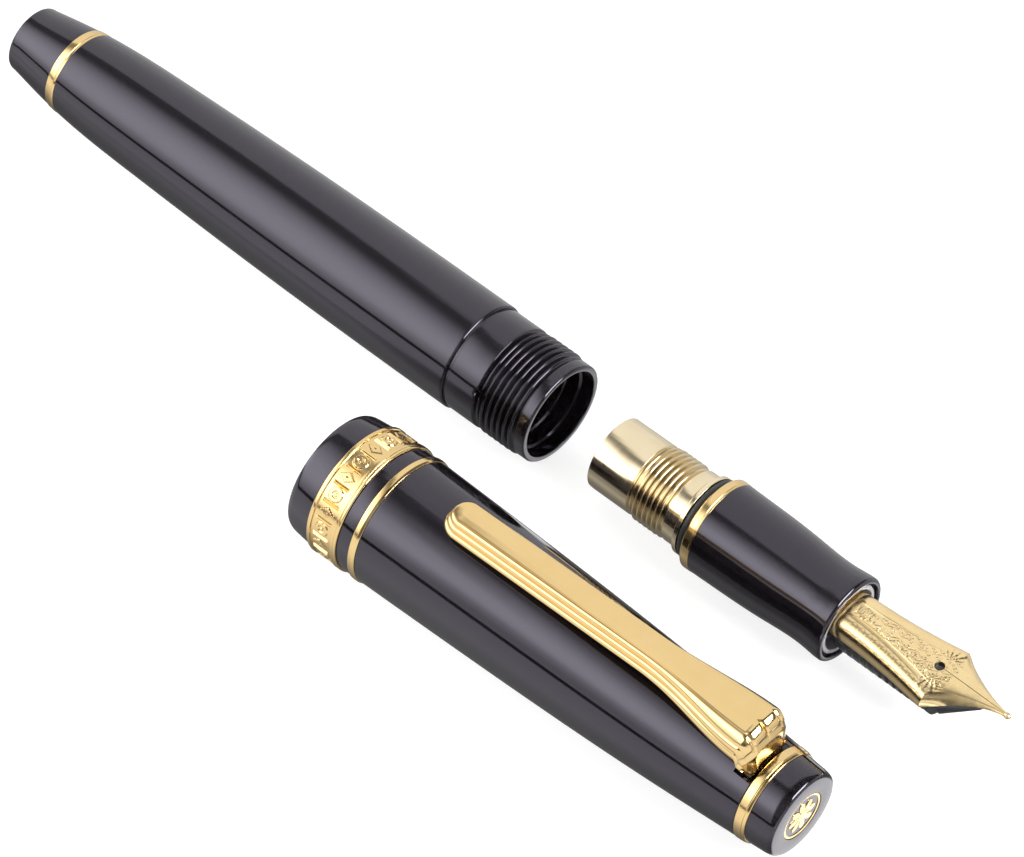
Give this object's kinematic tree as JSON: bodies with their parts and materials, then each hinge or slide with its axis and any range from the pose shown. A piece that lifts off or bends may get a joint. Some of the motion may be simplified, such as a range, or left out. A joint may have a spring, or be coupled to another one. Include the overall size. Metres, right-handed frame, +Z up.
{
  "type": "fountain pen",
  "caption": "Round-bodied fountain pen opened for filling: tapered barrel, threaded nib section drawn forward, and a clipped screw cap lying beside.",
  "frame": {"origin": "centre of the object's footprint, on the surface it lies on", "axes": "+X along the pen from barrel tail to nib tip, +Z up; the cap lies on the -Y side of the barrel"},
  "size_m": [0.1404, 0.0368, 0.019],
  "materials": {
    "black_resin": "polished",
    "gold_plate": "polished gold plate",
    "nib_gold": "polished, engraved",
    "bare_brass": "turned",
    "seal_rubber": "matte",
    "grey_holder": "satin",
    "feed_plastic": "satin",
    "clear_tube": "clear",
    "hard_tip": "polished",
    "steel": "turned"
  },
  "bodies": {
    "barrel": {"barrel_shell": "black_resin", "barrel_end_ring": "gold_plate", "barrel_end_cap": "black_resin"},
    "section": {"connector_sleeve": "bare_brass", "o_ring": "seal_rubber", "section_trim_ring": "gold_plate", "grip_shell": "black_resin", "nib_holder": "grey_holder"},
    "nib_unit": {"nib": "nib_gold", "nib_tipping": "hard_tip", "feed": "feed_plastic"},
    "converter": {"converter_tube": "clear_tube", "converter_collar": "steel"},
    "knob": {"converter_knob": "feed_plastic"},
    "piston": {"piston_rod": "grey_holder", "piston_seal": "seal_rubber"},
    "cap": {"cap_shell": "black_resin", "cap_band": "gold_plate", "cap_thin_ring": "gold_plate", "inner_cap": "feed_plastic", "clip_ring": "gold_plate", "finial": "black_resin", "finial_emblem": "gold_plate", "finial_screw": "steel"},
    "clip": {"clip": "gold_plate"}
  },
  "joints": [
    {"name": "section_slide", "type": "slide", "parent": "barrel", "child": "section", "axis": [1, 0, 0], "range_m": [-0.02125, 0]},
    {"name": "nib_unit_pull", "type": "slide", "parent": "section", "child": "nib_unit", "axis": [1, 0, 0], "range_m": [0, 0.015]},
    {"name": "converter_slide", "type": "slide", "parent": "barrel", "child": "converter", "axis": [1, 0, 0], "range_m": [0, 0.0215]},
    {"name": "knob_turn", "type": "hinge", "parent": "converter", "child": "knob", "pos_m": [-0.0502, 0.01194, 0.00648], "axis": [1, 0, 0], "range_deg": [-1440, 0]},
    {"name": "piston_travel", "type": "slide", "parent": "converter", "child": "piston", "axis": [1, 0, 0], "range_m": [-0.012, 0]},
    {"name": "cap_slide", "type": "slide", "parent": "barrel", "child": "cap", "axis": [1, 0, 0], "range_m": [0, 0.074]},
    {"name": "clip_flex", "type": "hinge", "parent": "cap", "child": "clip", "pos_m": [0.0562, -0.01056, 0.01326], "axis": [0, 1, 0], "range_deg": [0, 3], "stiffness_Nm_per_rad": 2}
  ],
  "couplings": [
    {"joint": "knob_turn", "follows": "piston_travel", "rad_per_m": 2094.4}
  ]
}
